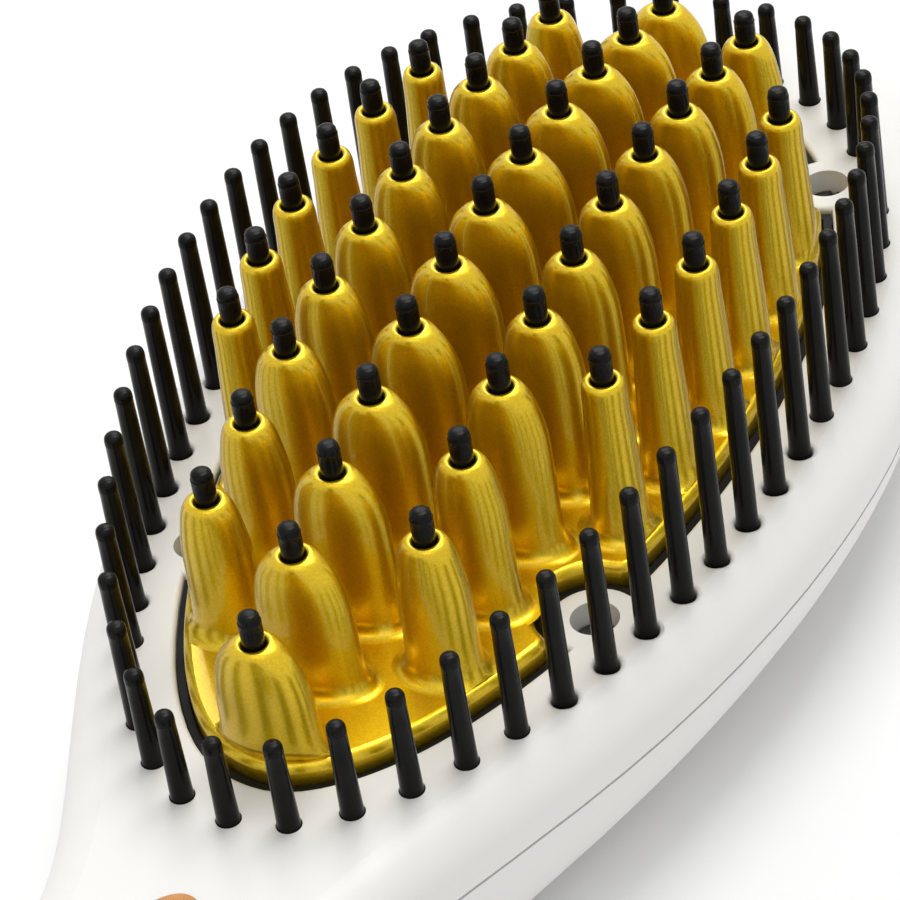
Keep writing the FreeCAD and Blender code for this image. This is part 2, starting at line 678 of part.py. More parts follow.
def lying_cylinder(name, radius, length, x, y, z):
    item = cylinder(name, radius, length, x, y, z)
    item.Placement = FreeCAD.Placement(vector(0, 0), FreeCAD.Rotation(vector(0, 1, 0), 90))
    return put(item, x, y, z)


def cut(name, base, tool):
    item = doc.addObject("Part::Cut", name)
    item.Base = base
    item.Tool = tool
    return item


def group(name, pieces):
    item = doc.addObject("Part::Compound", name)
    item.Links = pieces
    return item


def slab(name, offset, thickness, z):
    ellipse = doc.addObject("Part::Ellipse", name + "_ellipse")
    bind(ellipse, MajorRadius=f"sizes.bezel_half_length - ({offset})",
         MinorRadius=f"sizes.bezel_half_width - ({offset})")
    item = doc.addObject("Part::Extrusion", name)
    item.Base = ellipse
    item.DirMode = "Custom"
    item.Dir = up
    item.Solid = True
    bind(item, LengthFwd=thickness)
    return put(item, "layout.panel_x", "0", z)


# A turned body: a stack of round pads, given as radius, start and length along its axis.
def turned_body(name, pads):
    body = doc.addObject("PartDesign::Body", name)
    plane = [item for item in body.Origin.OriginFeatures if item.Role == "XY_Plane"][0]
    for index, (radius, start, length) in enumerate(pads):
        pad = body.newObject("PartDesign::Pad", f"{name}_pad{index}")
        pad.Profile = round_sketch(body, plane, f"{name}_circle{index}", radius, start)
        bind(pad, Length=length)
        doc.recompute()
    return body


def round_sketch(body, plane, name, radius, start):
    sketch = body.newObject("Sketcher::SketchObject", name)
    sketch.AttachmentSupport = [(plane, "")]
    sketch.MapMode = "FlatFace"
    bind(sketch, AttachmentOffset__Base__z=start)
    circle = sketch.addGeometry(Part.Circle(vector(0, 0), up, 1))
    sketch.addConstraint(Sketcher.Constraint("Coincident", circle, 3, -1, 1))
    held = sketch.addConstraint(Sketcher.Constraint("Radius", circle, 1))
    sketch.setExpression(f"Constraints[{held}]", radius)
    return sketch


tolerance_share = 0.001


def round_edges(body, name, radius, height):
    doc.recompute()
    base = body.Tip
    level = [f"Edge{index}" for index, edge in enumerate(base.Shape.Edges, start=1)
             if abs(edge.CenterOfMass.z - height) < tolerance_share * edge.Length]
    fillet = body.newObject("PartDesign::Fillet", name)
    fillet.Base = (base, level)
    bind(fillet, Radius=radius)
    doc.recompute()
    return fillet


# Heater under the plate, its clamp, its two sensors and the leads to the handle.
add_node(block("heater", "sizes.heater_length", "sizes.heater_width", "sizes.heater_thickness",
               "layout.heater_rear_x", "0", "layout.plate_bottom_z - sizes.heater_thickness"), "heater")
add_node(block("heater_clamp", "sizes.heater_length - 2 * sizes.clamp_margin", "sizes.heater_width",
               "sizes.clamp_thickness", "layout.heater_rear_x + sizes.clamp_margin", "0",
               "layout.plate_bottom_z - sizes.heater_thickness - sizes.clamp_thickness"), "heater_clamp")
add_node(lying_cylinder("thermal_fuse", "sizes.fuse_radius", "sizes.fuse_length", "layout.sensor_x",
                        "sizes.sensor_offset", "layout.plate_bottom_z - sizes.fuse_radius"), "thermal_fuse")
add_node(lying_cylinder("thermistor", "sizes.thermistor_radius", "sizes.thermistor_length", "layout.sensor_x",
                        "-sizes.sensor_offset", "layout.plate_bottom_z - sizes.thermistor_radius"), "thermistor")
heater_leads = []
sensor_leads = []
for side, sign in (("left", ""), ("right", "-")):
    heater_leads.append(lying_cylinder(f"heater_lead_{side}", "sizes.lead_radius",
                                       "layout.heater_rear_x - layout.board_front_x", "layout.board_front_x",
                                       f"{sign}sizes.lead_spread", "layout.lead_z"))
    sensor_leads.append(lying_cylinder(f"sensor_lead_{side}", "sizes.sensor_lead_radius",
                                       "layout.sensor_x - layout.board_front_x", "layout.board_front_x",
                                       f"{sign}sizes.sensor_offset", "layout.lead_z"))
add_node(group("heater_leads", heater_leads), "heater_leads")
add_node(group("sensor_leads", sensor_leads), "sensor_leads")

# Control board with what stands on it.
board = block("board_blank", "sizes.board_length", "sizes.board_width", "sizes.board_thickness",
              "layout.board_rear_x", "0", "layout.board_bottom_z")
board_holes = []
for side_x in ("-", "+"):
    for side_y in ("-", "+"):
        board_holes.append(cylinder(f"board_hole{len(board_holes)}",
                                    "sizes.board_screw_shaft + sizes.screw_clearance",
                                    "sizes.board_thickness + 2 * sizes.overrun",
                                    f"layout.panel_x {side_x} sizes.post_offset_x",
                                    f"0 {side_y} sizes.post_offset_y", "layout.board_bottom_z - sizes.overrun"))
add_node(cut("control_board", board, group("board_holes", board_holes)), "control_board")
add_node(block("terminal_block", "sizes.terminal_length", "sizes.terminal_width", "sizes.terminal_height",
               "layout.board_front_x - sizes.terminal_length", "0", "sizes.board_height"), "terminal_block")
add_node(block("triac", "sizes.triac_length", "sizes.triac_width", "sizes.triac_height",
               "layout.board_front_x - sizes.terminal_length - sizes.triac_gap - sizes.triac_length", "0",
               "sizes.board_height"), "triac")
add_node(cylinder("capacitor", "sizes.capacitor_radius", "sizes.capacitor_height",
                  "layout.board_rear_x + sizes.capacitor_inset", "0", "sizes.board_height"), "capacitor")
add_node(block("display_module", "sizes.display_length", "sizes.display_width",
               "layout.panel_z - sizes.board_height - sizes.fit_clearance",
               "layout.window_x - sizes.display_length / 2", "0", "sizes.board_height"), "display_module")

# Handle panel: bezel, panel plate with window, and three sprung buttons on switches.
bezel_hole = slab("bezel_hole", "sizes.bezel_wall", "sizes.panel_thickness + 2 * sizes.overrun",
                  "layout.panel_z - sizes.overrun")
bezel = slab("bezel_plate", "sizes.fit_clearance", "sizes.panel_thickness + sizes.bezel_rise", "layout.panel_z")
add_node(cut("bezel", bezel, bezel_hole), "bezel")
add_node(block("display_window", "sizes.window_length", "sizes.window_width", "sizes.panel_thickness",
               "layout.window_x - sizes.window_length / 2", "0", "layout.panel_z"), "display_window")
panel_cuts = [block("window_hole", "sizes.window_length + 2 * sizes.fit_clearance",
                    "sizes.window_width + 2 * sizes.fit_clearance", "sizes.panel_thickness + 2 * sizes.overrun",
                    "layout.window_x - sizes.window_length / 2 - sizes.fit_clearance", "0",
                    "layout.panel_z - sizes.overrun")]
switches = []
for index, name in enumerate(("plus", "minus", "power")):
    button_x = f"layout.button_x - {index} * sizes.button_spacing"
    panel_cuts.append(cylinder(f"{name}_hole", "sizes.button_radius + sizes.button_gap",
                               "sizes.panel_thickness + 2 * sizes.overrun", button_x, "0",
                               "layout.panel_z - sizes.overrun"))
    button = turned_body(f"{name}_button", (
        ("sizes.button_flange", "layout.button_flange_z", "sizes.button_flange_height"),
        ("sizes.button_radius", "layout.button_flange_z + sizes.button_flange_height",
         "layout.face_z + sizes.button_rise - layout.button_flange_z - sizes.button_flange_height"),
        ("sizes.button_stem", "layout.stem_z", "layout.button_flange_z - layout.stem_z")))
    button_top = place["face_z"] + size["button_rise"]
    round_edges(button, f"{name}_rounding", "sizes.button_edge", button_top)
    add_node(put(button, button_x, "0", "0"), f"{name}_button")
    add_node(cylinder(f"{name}_plunger", "sizes.plunger_radius", "sizes.plunger_depth + sizes.plunger_rise",
                      button_x, "0", "layout.switch_top_z - sizes.plunger_depth"), f"{name}_plunger")
    body = block(f"{name}_switch_body", "sizes.switch_side", "sizes.switch_side", "sizes.switch_height",
                 f"{button_x} - sizes.switch_side / 2", "0", "sizes.board_height")
    room = cylinder(f"{name}_switch_room", "sizes.plunger_radius + sizes.fit_clearance",
                    "sizes.plunger_depth + sizes.plunger_room + sizes.overrun", button_x, "0",
                    "layout.switch_top_z - sizes.plunger_depth - sizes.plunger_room")
    switches.append(cut(f"{name}_switch", body, room))
add_node(group("switches", switches), "switches")
panel = slab("panel_plate", "sizes.bezel_wall + sizes.fit_clearance", "sizes.panel_thickness", "layout.panel_z")
add_node(cut("control_panel", panel, group("panel_cuts", panel_cuts)), "control_panel")

# Cord inlet that turns in the tail, with its slip rings and the contacts below them.
swivel = turned_body("cord_swivel", (
    ("sizes.swivel_neck", "0", "sizes.swivel_reach + layout.flange_x - layout.tail_x"),
    ("sizes.swivel_flange", "sizes.swivel_reach + layout.flange_x - layout.tail_x", "sizes.swivel_flange_length"),
    ("sizes.stem_radius", "sizes.swivel_reach + layout.stem_x - layout.tail_x", "sizes.stem_length")))
round_edges(swivel, "cord_swivel_mouth", "sizes.swivel_edge", 0.0)
bore = swivel.newObject("PartDesign::Pocket", "cord_bore")
bore_plane = [item for item in swivel.Origin.OriginFeatures if item.Role == "XY_Plane"][0]
bore.Profile = round_sketch(swivel, bore_plane, "cord_bore_circle", "sizes.swivel_bore", "0")
bore.Type = "ThroughAll"
bore.Reversed = True
swivel.Placement = FreeCAD.Placement(vector(0, 0), FreeCAD.Rotation(vector(0, 1, 0), 90))
put(swivel, "layout.tail_x - sizes.swivel_reach", "0", "sizes.swivel_height")
add_node(swivel, "cord_swivel")
rings = []
contacts = []
for index in range(2):
    ring_x = f"layout.slip_x + {index} * sizes.slip_spacing"
    blank = lying_cylinder(f"slip_ring{index}_blank", "sizes.slip_radius", "sizes.slip_width", ring_x, "0",
                           "sizes.swivel_height")
    hole = lying_cylinder(f"slip_ring{index}_hole", "sizes.stem_radius", "sizes.slip_width + 2 * sizes.overrun",
                          f"{ring_x} - sizes.overrun", "0", "sizes.swivel_height")
    rings.append(cut(f"slip_ring{index}", blank, hole))
    contacts.append(block(f"swivel_contact{index}", "sizes.slip_width", "sizes.contact_width",
                          "sizes.swivel_height - sizes.slip_radius - sizes.contact_gap - sizes.lower_wall",
                          ring_x, "0", "sizes.lower_wall"))
add_node(group("slip_rings", rings), "slip_rings")
add_node(group("swivel_contacts", contacts), "swivel_contacts")


# Screws, with the underside of the head at their seat; they point down or up from there.
def screw(radius, head_radius, head_height, reach, x, y, seat, way):
    shaft = Part.makeCylinder(radius, reach, vector(x, y, seat), up * way)
    head = Part.makeCylinder(head_radius, head_height, vector(x, y, seat), up * -way)
    slot = size["screw_slot"]
    corner = vector(x - head_radius, y - slot / 2, seat - way * head_height - slot / 2)
    groove = Part.makeBox(2 * head_radius, slot, slot, corner)
    return head.fuse(shaft).cut(groove).removeSplitter()


def case_screw(reach, x, y, seat, way):
    return screw(size["screw_shaft"], size["screw_head"], size["screw_head_height"], reach, x, y, seat, way)


head_reach = size["head_screw_reach"] + size["shield_thickness"] + size["tube_floor"]
head_screws = [case_screw(head_reach, x, y, place["head_seat_z"], -1) for x, y in lobes]
closing_reach = size["closing_split"] - size["closing_sink"] + size["closing_reach"]
closing_screws = [case_screw(closing_reach, x, 0, size["closing_sink"], 1) for x in closing_places]
board_reach = size["board_thickness"] + size["board_screw_reach"]
board_screws = [screw(size["board_screw_shaft"], size["board_screw_head"], size["board_screw_head_height"],
                      board_reach, x, y, size["board_height"], -1) for x, y in board_posts()]
shaped_node("head_screws", Part.makeCompound(head_screws))
shaped_node("closing_screws", Part.makeCompound(closing_screws))
shaped_node("board_screws", Part.makeCompound(board_screws))

doc.recompute()
for item in doc.Objects:
    if "Invalid" in item.State or "Error" in item.State:
        raise RuntimeError(f"{item.Label} did not recompute")
for item in node_objects:
    if item.Shape.isNull() or not item.Shape.isValid() or item.Shape.Volume <= 0:
        raise RuntimeError(f"{item.Label} has no valid solid")
os.makedirs("parts", exist_ok=True)
for item in node_objects:
    item.Shape.exportStep(f"parts/{item.Label}.step")
    box = item.Shape.BoundBox
    print(f"{item.Label}: {len(item.Shape.Solids)} solids, {item.Shape.Volume:.1f} mm3,"
          f" x {box.XMin:.2f} to {box.XMax:.2f}, z {box.ZMin:.2f} to {box.ZMax:.2f}")
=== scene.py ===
import json
import math

import bpy
from mathutils import Matrix, Vector


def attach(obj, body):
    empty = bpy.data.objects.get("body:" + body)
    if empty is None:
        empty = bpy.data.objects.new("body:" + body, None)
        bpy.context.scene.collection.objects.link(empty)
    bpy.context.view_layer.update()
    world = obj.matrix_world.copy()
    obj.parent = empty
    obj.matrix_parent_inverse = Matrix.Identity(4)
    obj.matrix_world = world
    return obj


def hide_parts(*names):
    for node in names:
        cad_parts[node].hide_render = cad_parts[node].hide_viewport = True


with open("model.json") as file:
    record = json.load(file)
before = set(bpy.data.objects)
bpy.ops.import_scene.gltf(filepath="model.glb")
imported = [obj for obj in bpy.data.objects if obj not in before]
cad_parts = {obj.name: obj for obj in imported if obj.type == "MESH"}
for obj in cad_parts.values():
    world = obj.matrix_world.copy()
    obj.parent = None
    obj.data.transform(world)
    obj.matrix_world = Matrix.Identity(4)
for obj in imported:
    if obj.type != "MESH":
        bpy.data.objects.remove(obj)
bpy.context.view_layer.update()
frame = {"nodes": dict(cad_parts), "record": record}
cadNodes = frame["nodes"]
mm = 0.001
scene = bpy.context.scene
scene.view_settings.view_transform = "Standard"
print("frame loaded with", len(cadNodes), "nodes")


# camera where the photograph was taken from, looking down over the head from behind the neck
cameraSetup = {
    "place": (-0.17929, -0.13711, 0.24185),
    "right": (0.39868, -0.90799, -0.12893),
    "up": (0.60940, 0.15723, 0.77713),
    "lens": 157.27,
    "sensor": 36.0,
    "nearClip": 0.01,
    "farClip": 50.0,
}


def makeCamera():
    right = Vector(cameraSetup["right"])
    up = Vector(cameraSetup["up"])
    back = right.cross(up)
    turn = Matrix((right, up, back)).transposed().to_4x4()
    data = bpy.data.cameras.new("photoCamera")
    data.lens = cameraSetup["lens"]
    data.sensor_width = cameraSetup["sensor"]
    data.clip_start = cameraSetup["nearClip"]
    data.clip_end = cameraSetup["farClip"]
    cam = bpy.data.objects.new("photoCamera", data)
    scene.collection.objects.link(cam)
    cam.matrix_world = Matrix.Translation(cameraSetup["place"]) @ turn
    scene.camera = cam


makeCamera()
print("camera set")


# small helpers for node trees, of a material or of the world
def addNode(mat, kind, **values):
    node = mat.node_tree.nodes.new("ShaderNode" + kind)
    for name, value in values.items():
        setattr(node, name, value)
    return node


def join(mat, source, target):
    mat.node_tree.links.new(source, target)


def objectCoords(mat):
    return addNode(mat, "TexCoord").outputs["Object"]


def noiseAt(mat, size, detail=2.0, roughness=0.5):
    # size is the width of one blotch in metres
    noise = addNode(mat, "TexNoise")
    noise.inputs["Scale"].default_value = 1.0 / size
    noise.inputs["Detail"].default_value = detail
    noise.inputs["Roughness"].default_value = roughness
    join(mat, objectCoords(mat), noise.inputs["Vector"])
    return noise.outputs["Fac"]


# most of what a noise texture gives lies in this band
noiseBand = (0.3, 0.7)


def spread(mat, source, low, high, fromLow=noiseBand[0], fromHigh=noiseBand[1]):
    ranged = addNode(mat, "MapRange")
    ranged.inputs["From Min"].default_value = fromLow
    ranged.inputs["From Max"].default_value = fromHigh
    ranged.inputs["To Min"].default_value = low
    ranged.inputs["To Max"].default_value = high
    join(mat, source, ranged.inputs["Value"])
    return ranged.outputs["Result"]


def blendColours(mat, source, first, second):
    ramp = addNode(mat, "ValToRGB")
    for element, place, colour in zip(ramp.color_ramp.elements, noiseBand, (first, second)):
        element.position = place
        element.color = (*colour, 1.0)
    join(mat, source, ramp.inputs["Fac"])
    return ramp.outputs["Color"]


def bumpFrom(mat, source, depth, strength=1.0):
    bump = addNode(mat, "Bump")
    bump.inputs["Distance"].default_value = depth
    bump.inputs["Strength"].default_value = strength
    join(mat, source, bump.inputs["Height"])
    return bump.outputs["Normal"]


# one finish: colour with a soft drift, roughness that wanders, and a fine moulded grain
finishBase = {
    "ior": 1.46,
    "gloss": 0.5,
    "coatRough": 0.05,
    "wanderShare": 0.4,
    "wanderDetail": 3.0,
    "grainDetail": 2.0,
    "grainRoughness": 0.6,
}


def makeFinish(name, look):
    base = finishBase
    mat = bpy.data.materials.new(name)
    mat.use_nodes = True
    shader = mat.node_tree.nodes["Principled BSDF"]
    shader.inputs["Metallic"].default_value = look.get("metal", 0.0)
    shader.inputs["IOR"].default_value = base["ior"]
    shader.inputs["Specular IOR Level"].default_value = look.get("gloss", base["gloss"])
    if "coat" in look:
        shader.inputs["Coat Weight"].default_value = look["coat"]
        shader.inputs["Coat Roughness"].default_value = look.get("coatRough", base["coatRough"])
    drift = noiseAt(mat, look["drift"])
    join(mat, blendColours(mat, drift, look["colour"], look["tint"]), shader.inputs["Base Color"])
    wander = noiseAt(mat, look["drift"] * base["wanderShare"], base["wanderDetail"])
    join(mat, spread(mat, wander, *look["rough"]), shader.inputs["Roughness"])
    grain = noiseAt(mat, look["grain"], base["grainDetail"], base["grainRoughness"])
    join(mat, bumpFrom(mat, grain, look["grainDepth"]), shader.inputs["Normal"])
    return mat


finishLooks = {
    "white_shell": {"colour": (0.868, 0.858, 0.833), "tint": (0.882, 0.874, 0.852), "rough": (0.36, 0.44),
                    "gloss": 0.35, "drift": 0.02, "grain": 0.0004, "grainDepth": 0.000004},
    "black_nylon": {"colour": (0.005, 0.0047, 0.0044), "tint": (0.008, 0.0076, 0.0072), "rough": (0.17, 0.26),
                    "gloss": 0.11, "drift": 0.003, "grain": 0.0002, "grainDepth": 0.000006},
    "black_frame": {"colour": (0.006, 0.006, 0.006), "tint": (0.010, 0.010, 0.010), "rough": (0.45, 0.60),
                    "gloss": 0.15, "drift": 0.006, "grain": 0.0003, "grainDepth": 0.00001},
    "steel_screw": {"colour": (0.11, 0.105, 0.10), "tint": (0.16, 0.155, 0.15), "rough": (0.20, 0.30), "metal": 1.0,
                    "drift": 0.001, "grain": 0.0002, "grainDepth": 0.000004},
    "copper_bezel": {"colour": (0.24, 0.115, 0.045), "tint": (0.30, 0.145, 0.058), "rough": (0.20, 0.30),
                     "metal": 1.0, "drift": 0.004, "grain": 0.00015, "grainDepth": 0.000003},
    "panel_black": {"colour": (0.006, 0.006, 0.007), "tint": (0.010, 0.010, 0.011), "rough": (0.08, 0.14),
                    "drift": 0.01, "grain": 0.001, "grainDepth": 0.000002, "coat": 0.5, "coatRough": 0.03},
    "window_smoke": {"colour": (0.012, 0.013, 0.015), "tint": (0.018, 0.019, 0.021), "rough": (0.03, 0.06),
                     "drift": 0.01, "grain": 0.002, "grainDepth": 0.000001, "coat": 0.8, "coatRough": 0.02},
    "button_grey": {"colour": (0.030, 0.030, 0.032), "tint": (0.042, 0.042, 0.044), "rough": (0.36, 0.46),
                    "drift": 0.004, "grain": 0.0002, "grainDepth": 0.000006},
    "ceramic": {"colour": (0.78, 0.76, 0.72), "tint": (0.84, 0.82, 0.79), "rough": (0.55, 0.7),
                "drift": 0.005, "grain": 0.0003, "grainDepth": 0.00001},
    "spring_steel": {"colour": (0.46, 0.45, 0.43), "tint": (0.56, 0.55, 0.53), "rough": (0.28, 0.4), "metal": 1.0,
                     "drift": 0.006, "grain": 0.0002, "grainDepth": 0.000004},
    "mica": {"colour": (0.42, 0.36, 0.26), "tint": (0.52, 0.46, 0.35), "rough": (0.3, 0.5),
             "drift": 0.008, "grain": 0.0008, "grainDepth": 0.00001},
    "sensor_glass": {"colour": (0.30, 0.12, 0.05), "tint": (0.38, 0.16, 0.07), "rough": (0.08, 0.16),
                     "drift": 0.003, "grain": 0.0004, "grainDepth": 0.000002},
    "fuse_metal": {"colour": (0.50, 0.49, 0.46), "tint": (0.60, 0.59, 0.56), "rough": (0.24, 0.36), "metal": 1.0,
                   "drift": 0.003, "grain": 0.0002, "grainDepth": 0.000004},
    "wire_red": {"colour": (0.36, 0.02, 0.015), "tint": (0.44, 0.03, 0.02), "rough": (0.4, 0.5),
                 "drift": 0.004, "grain": 0.0002, "grainDepth": 0.000006},
    "wire_white": {"colour": (0.72, 0.71, 0.69), "tint": (0.80, 0.79, 0.77), "rough": (0.4, 0.5),
                   "drift": 0.004, "grain": 0.0002, "grainDepth": 0.000006},
    "board_green": {"colour": (0.015, 0.09, 0.035), "tint": (0.022, 0.13, 0.05), "rough": (0.25, 0.35),
                    "drift": 0.002, "grain": 0.0005, "grainDepth": 0.00001},
    "part_black": {"colour": (0.014, 0.014, 0.014), "tint": (0.022, 0.022, 0.022), "rough": (0.5, 0.62),
                   "drift": 0.003, "grain": 0.0002, "grainDepth": 0.000008},
    "terminal_green": {"colour": (0.03, 0.22, 0.10), "tint": (0.04, 0.28, 0.13), "rough": (0.4, 0.5),
                       "drift": 0.003, "grain": 0.0002, "grainDepth": 0.000006},
    "capacitor_sleeve": {"colour": (0.02, 0.03, 0.10), "tint": (0.03, 0.04, 0.14), "rough": (0.25, 0.35),
                         "drift": 0.003, "grain": 0.0003, "grainDepth": 0.000004},
    "display_glass": {"colour": (0.02, 0.022, 0.024), "tint": (0.03, 0.032, 0.034), "rough": (0.05, 0.1),
                      "drift": 0.004, "grain": 0.0006, "grainDepth": 0.000002},
    "swivel_white": {"colour": (0.83, 0.825, 0.81), "tint": (0.86, 0.856, 0.845), "rough": (0.34, 0.44),
                     "drift": 0.006, "grain": 0.0003, "grainDepth": 0.000005},
    "contact_brass": {"colour": (0.62, 0.44, 0.14), "tint": (0.70, 0.51, 0.19), "rough": (0.22, 0.34), "metal": 1.0,
                      "drift": 0.003, "grain": 0.0002, "grainDepth": 0.000004},
}

finishes = {name: makeFinish(name + "_finish", look) for name, look in finishLooks.items()}


# pearl gold lacquer on the cast plate: metal flakes under a glossy clear coat
goldLook = {
    "deep": (0.65, 0.436, 0.005),
    "bright": (0.73, 0.498, 0.010),
    "flake": 0.00014,
    "flakeDepth": 0.000010,
    "flakeStrength": 0.025,
    "rough": (0.31, 0.37),
    "metal": 0.91,
    "coat": 0.45,
    "coatRough": 0.03,
}


def makeGold():
    mat = bpy.data.materials.new("gold_plate_finish")
    mat.use_nodes = True
    shader = mat.node_tree.nodes["Principled BSDF"]
    shader.inputs["Metallic"].default_value = goldLook["metal"]
    shader.inputs["Coat Weight"].default_value = goldLook["coat"]
    shader.inputs["Coat Roughness"].default_value = goldLook["coatRough"]
    flakes = addNode(mat, "TexVoronoi")
    flakes.inputs["Scale"].default_value = 1.0 / goldLook["flake"]
    join(mat, objectCoords(mat), flakes.inputs["Vector"])
    tone = addNode(mat, "SeparateColor")
    join(mat, flakes.outputs["Color"], tone.inputs["Color"])
    shade = blendColours(mat, tone.outputs["Red"], goldLook["deep"], goldLook["bright"])
    join(mat, shade, shader.inputs["Base Color"])
    join(mat, spread(mat, tone.outputs["Green"], *goldLook["rough"], 0.0, 1.0), shader.inputs["Roughness"])
    sparkle = bumpFrom(mat, tone.outputs["Blue"], goldLook["flakeDepth"], goldLook["flakeStrength"])
    join(mat, sparkle, shader.inputs["Normal"])
    return mat


finishes["gold_plate"] = makeGold()

slotOfNode = {row["node"]: row["material_slot"] for row in frame["record"]["subparts"]}
for name, node in cadNodes.items():
    node.data.materials.clear()
    node.data.materials.append(finishes[slotOfNode[name]])
print("finishes on", len(cadNodes), "nodes")


mergeDistance = 0.000001


# modelling helpers: everything is done on one selected piece at a time
def takeUp(piece):
    if bpy.context.object and bpy.context.object.mode != "OBJECT":
        bpy.ops.object.mode_set(mode="OBJECT")
    bpy.ops.object.select_all(action="DESELECT")
    if piece:
        piece.select_set(True)
        bpy.context.view_layer.objects.active = piece


def solidBoxes(nodeName):
    # lowest and highest corner of each separate solid of a CAD node
    source = cadNodes[nodeName]
    loose = bpy.data.objects.new("looseCopy", source.data.copy())
    scene.collection.objects.link(loose)
    takeUp(loose)
    bpy.ops.object.mode_set(mode="EDIT")
    bpy.ops.mesh.select_all(action="SELECT")
    bpy.ops.mesh.remove_doubles(threshold=mergeDistance)
    bpy.ops.mesh.separate(type="LOOSE")
    bpy.ops.object.mode_set(mode="OBJECT")
    boxes = []
    for part in bpy.context.selected_objects:
        corners = [Vector(corner) for corner in part.bound_box]
        boxes.append((corners[0], corners[6]))
    bpy.ops.object.delete()
    return sorted(boxes, key=lambda box: (round(box[0].y, 4), box[0].x))


def easeThrough(points, at):
    # smooth curve through (place, value) points, places rising
    if at <= points[0][0]:
        return points[0][1]
    for index in range(len(points) - 1):
        (a, va), (b, vb) = points[index], points[index + 1]
        if at <= b:
            before = points[index - 1] if index else points[0]
            after = points[index + 2] if index + 2 < len(points) else points[-1]
            slopeA = (vb - before[1]) / (b - before[0])
            slopeB = (after[1] - va) / (after[0] - a)
            t = (at - a) / (b - a)
            return ((2 * t ** 3 - 3 * t ** 2 + 1) * va + (t ** 3 - 2 * t ** 2 + t) * slopeA * (b - a)
                    + (3 * t ** 2 - 2 * t ** 3) * vb + (t ** 3 - t ** 2) * slopeB * (b - a))
    return points[-1][1]


def raiseRings(x, y, rings, sides, hollow=False):
    # a circle drawn up or down through rings of (height, half size along x, half size along y);
    # a hollow piece has its last ring joined to its first, any other is closed at both ends
    takeUp(None)
    height, halfX, halfY = rings[0]
    bpy.ops.mesh.primitive_circle_add(vertices=sides, radius=1.0, location=(x, y, height))
    piece = bpy.context.object
    bpy.ops.object.mode_set(mode="EDIT")
    bpy.ops.mesh.select_all(action="SELECT")
    bpy.ops.transform.resize(value=(halfX, halfY, 1.0), center_override=(x, y, height))
    for nextHeight, nextX, nextY in rings[1:]:
        bpy.ops.mesh.extrude_region_move(TRANSFORM_OT_translate={"value": (0.0, 0.0, nextHeight - height)})
        bpy.ops.transform.resize(value=(nextX / halfX, nextY / halfY, 1.0), center_override=(x, y, nextHeight))
        height, halfX, halfY = nextHeight, nextX, nextY
    if hollow:
        bpy.ops.mesh.select_all(action="DESELECT")
        bpy.ops.mesh.select_non_manifold()
        bpy.ops.mesh.bridge_edge_loops()
    bpy.ops.mesh.select_all(action="SELECT")
    if not hollow:
        bpy.ops.mesh.fill_holes(sides=0)
    bpy.ops.mesh.normals_make_consistent(inside=False)
    bpy.ops.object.mode_set(mode="OBJECT")
    bpy.ops.object.transform_apply(location=True, rotation=True, scale=True)
    return piece


def finishPiece(parts, name, slotName, nodeNames, body="case", angle=50.0):
    takeUp(parts[0])
    for part in parts:
        part.select_set(True)
    if len(parts) > 1:
        bpy.ops.object.join()
    piece = bpy.context.object
    piece.name = name
    piece.data.name = name
    bpy.ops.object.shade_smooth_by_angle(angle=math.radians(angle))
    piece.data.materials.clear()
    piece.data.materials.append(finishes[slotName])
    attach(piece, body)
    if nodeNames:
        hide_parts(*nodeNames)


# teeth of the heated plate: a hole with a rolled lip, full shoulders and a soft fillet onto the plate
toothLook = {
    "sides": 32,
    "hole": 1.08 * mm,
    "holeDepth": 2.0 * mm,
    "crest": 1.40 * mm,
    "lip": 0.32 * mm,
    "lipSteps": 5,
    # depth below the crest, radius along the column, share of the way out to the shoulder across it
    "roll": ((0.08 * mm, 1.66 * mm, 0.09), (0.25 * mm, 1.80 * mm, 0.20), (0.6 * mm, 1.90 * mm, 0.36),
             (1.3 * mm, 1.97 * mm, 0.66)),
    "rollRadius": 1.95 * mm,
    "shoulder": (2.6 * mm, 0.79, 0.86),   # depth below the crest, share of breadth, share of thickness
    "waist": (5.1 * mm, 0.90, 0.93),
    "low": (1.5 * mm, 0.97, 0.98),        # height above the plate, shares
    "foot": (1.05, 1.02),
    "bodySteps": 20,
    "fillet": 1.4 * mm,
    "filletSteps": 6,
    "skirt": 0.35 * mm,
    "sunk": 0.02 * mm,
    "cadFoot": (1.08, 1.04),              # what the solid's foot spreads to, as shares
}
# the round teeth of the outer columns have straight flanks
coneFlank = {"shoulder": (2.6 * mm, 0.766, 0.766), "waist": (5.1 * mm, 0.815, 0.815), "low": (1.5 * mm, 0.985, 0.985)}
# outline of the plate, the margin a foot keeps inside it, and how far it may lean out per height
plateEgg = {"midX": 74.15 * mm, "halfLength": 51.6 * mm, "halfWidth": 23.3 * mm, "lean": 0.125, "edge": 0.7 * mm,
            "draft": 0.4, "inside": 0.999}


